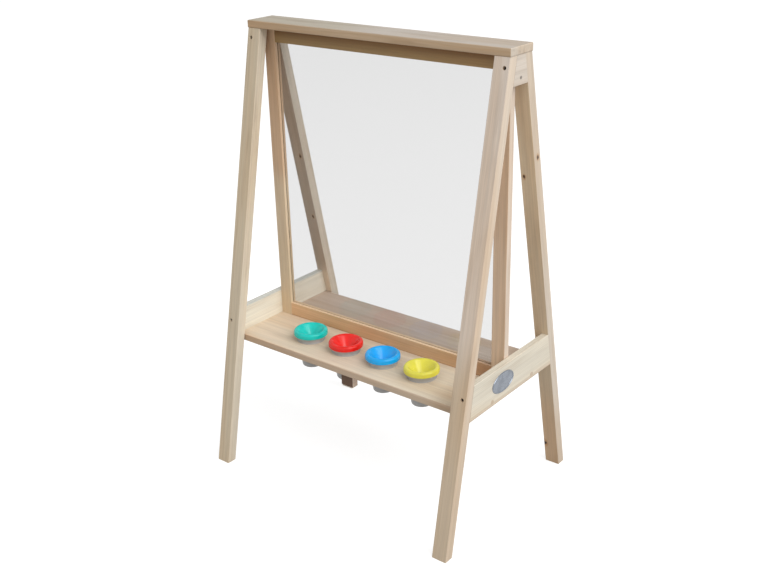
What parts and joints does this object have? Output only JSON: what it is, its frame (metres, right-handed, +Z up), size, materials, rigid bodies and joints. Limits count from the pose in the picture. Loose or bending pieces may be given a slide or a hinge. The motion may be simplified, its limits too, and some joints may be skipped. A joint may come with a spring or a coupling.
{
  "type": "kids easel",
  "caption": "Free-standing wooden A-frame painting easel with a clear window pane, and a shelf that holds lift-out paint pots with funnel lids.",
  "frame": {"origin": "middle of the footprint, on the floor", "axes": "+Z up, -Y towards the painter on the pot side, +X to that painter's right"},
  "size_m": [0.78, 0.562, 1.171],
  "materials": {
    "leg_timber": "planed, clear matt oil",
    "board_timber": "planed, clear matt oil",
    "frame_timber": "planed, clear matt oil",
    "dowel_timber": "turned, bare",
    "clear_acrylic": "clear",
    "leg_screw_steel": "black",
    "wood_screw_steel": "zinc",
    "cup_plastic": "milky translucent",
    "green_lid_plastic": "gloss",
    "red_lid_plastic": "gloss",
    "blue_lid_plastic": "gloss",
    "yellow_lid_plastic": "gloss"
  },
  "bodies": {
    "frame": {"front_left_leg": "leg_timber", "front_right_leg": "leg_timber", "back_left_leg": "leg_timber", "back_right_leg": "leg_timber", "left_top_block": "board_timber", "right_top_block": "board_timber", "left_end_board": "board_timber", "right_end_board": "board_timber", "top_cap": "board_timber", "shelf": "board_timber", "shelf_block": "board_timber", "left_stile": "frame_timber", "right_stile": "frame_timber", "top_rail": "frame_timber", "bottom_rail": "frame_timber", "clear_pane": "clear_acrylic", "upper_leg_screws": "leg_screw_steel", "lower_leg_screws": "leg_screw_steel", "block_screws": "wood_screw_steel", "shelf_screws": "wood_screw_steel", "rail_screws": "wood_screw_steel", "screw_plugs": "dowel_timber", "cap_dowels": "dowel_timber", "frame_dowels": "dowel_timber"},
    "green_cup": {"green_cup": "cup_plastic"},
    "green_lid": {"green_lid": "green_lid_plastic"},
    "red_cup": {"red_cup": "cup_plastic"},
    "red_lid": {"red_lid": "red_lid_plastic"},
    "blue_cup": {"blue_cup": "cup_plastic"},
    "blue_lid": {"blue_lid": "blue_lid_plastic"},
    "yellow_cup": {"yellow_cup": "cup_plastic"},
    "yellow_lid": {"yellow_lid": "yellow_lid_plastic"}
  },
  "joints": [
    {"name": "green_cup_lift", "type": "slide", "parent": "frame", "child": "green_cup", "axis": [0, 0, 1], "range_m": [0, 0.11]},
    {"name": "green_lid_pull", "type": "slide", "parent": "green_cup", "child": "green_lid", "axis": [0, 0, 1], "range_m": [0, 0.07]},
    {"name": "red_cup_lift", "type": "slide", "parent": "frame", "child": "red_cup", "axis": [0, 0, 1], "range_m": [0, 0.11]},
    {"name": "red_lid_pull", "type": "slide", "parent": "red_cup", "child": "red_lid", "axis": [0, 0, 1], "range_m": [0, 0.07]},
    {"name": "blue_cup_lift", "type": "slide", "parent": "frame", "child": "blue_cup", "axis": [0, 0, 1], "range_m": [0, 0.11]},
    {"name": "blue_lid_pull", "type": "slide", "parent": "blue_cup", "child": "blue_lid", "axis": [0, 0, 1], "range_m": [0, 0.07]},
    {"name": "yellow_cup_lift", "type": "slide", "parent": "frame", "child": "yellow_cup", "axis": [0, 0, 1], "range_m": [0, 0.11]},
    {"name": "yellow_lid_pull", "type": "slide", "parent": "yellow_cup", "child": "yellow_lid", "axis": [0, 0, 1], "range_m": [0, 0.07]}
  ]
}
